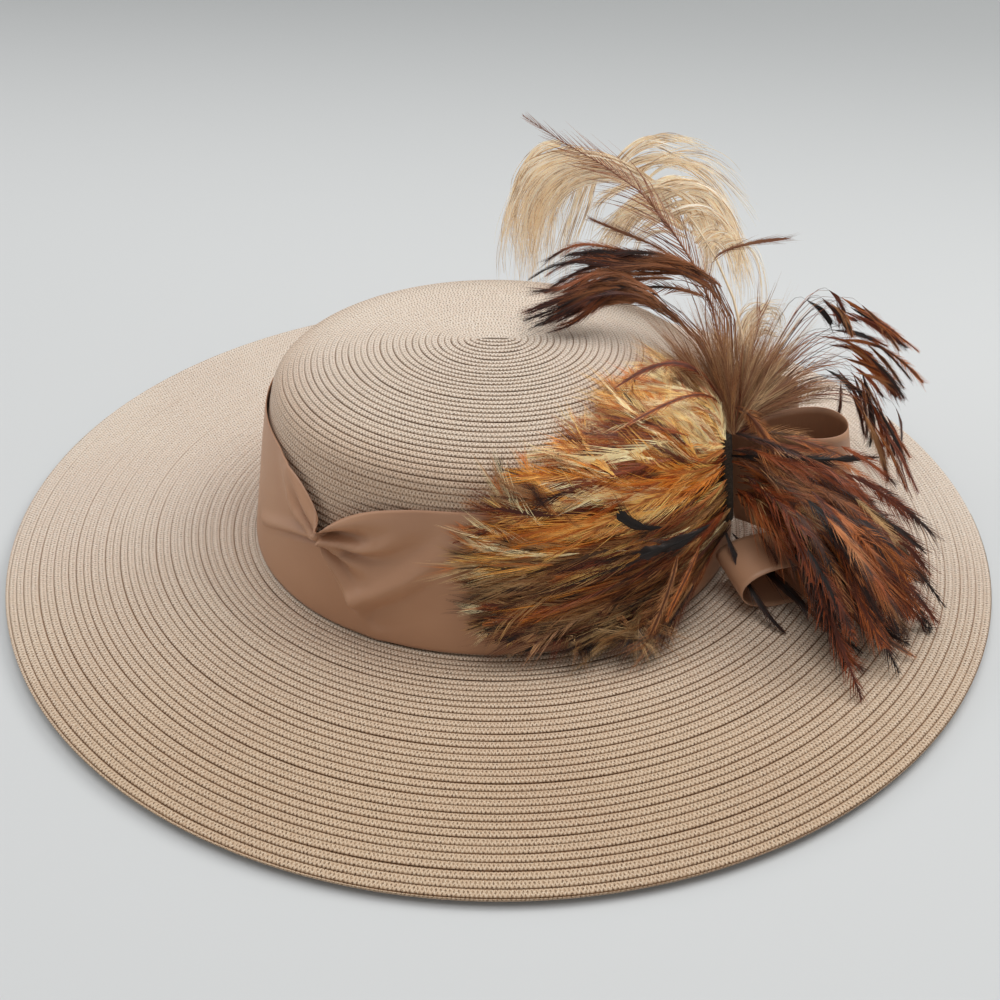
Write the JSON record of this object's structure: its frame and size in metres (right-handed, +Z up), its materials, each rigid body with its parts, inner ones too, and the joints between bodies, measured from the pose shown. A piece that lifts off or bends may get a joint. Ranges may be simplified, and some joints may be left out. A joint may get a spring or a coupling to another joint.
{
  "type": "straw boater hat with feather trim",
  "caption": "Wide brimmed hat of sewn straw braid with an oval domed crown, a pinched satin band, a ribbon bow and a side trim of hackle, quill and plume feathers.",
  "frame": {"origin": "on the ground under the middle of the brim's outline, level with the flat ring of brim under the crown", "axes": "+X along the long side of the hat towards the feather trim, +Z up through the crown's tip, -Y towards the pictured front"},
  "size_m": [0.385, 0.3644, 0.1329],
  "materials": {
    "straw": "sewn straw braid, matt",
    "satin": "satin ribbon, soft sheen",
    "tape": "matt tape",
    "gold_hackle": "golden hackle feathers",
    "rust_hackle": "rust hackle feathers",
    "dark_hackle": "dark brown hackle feathers",
    "cream_plume": "cream ostrich plume"
  },
  "bodies": {
    "root": {"brim": "straw", "crown": "straw", "hatband": "satin", "bow_loop_right": "satin", "bow_loop_back": "satin", "bow_loop_low": "satin", "feather_binding": "tape", "hackle_pad_left": "gold_hackle", "hackle_pad_right": "rust_hackle", "dark_sweep": "dark_hackle", "top_spray": "gold_hackle", "right_spray": "rust_hackle", "tall_quill": "gold_hackle", "ostrich_plume": "cream_plume"}
  },
  "joints": []
}
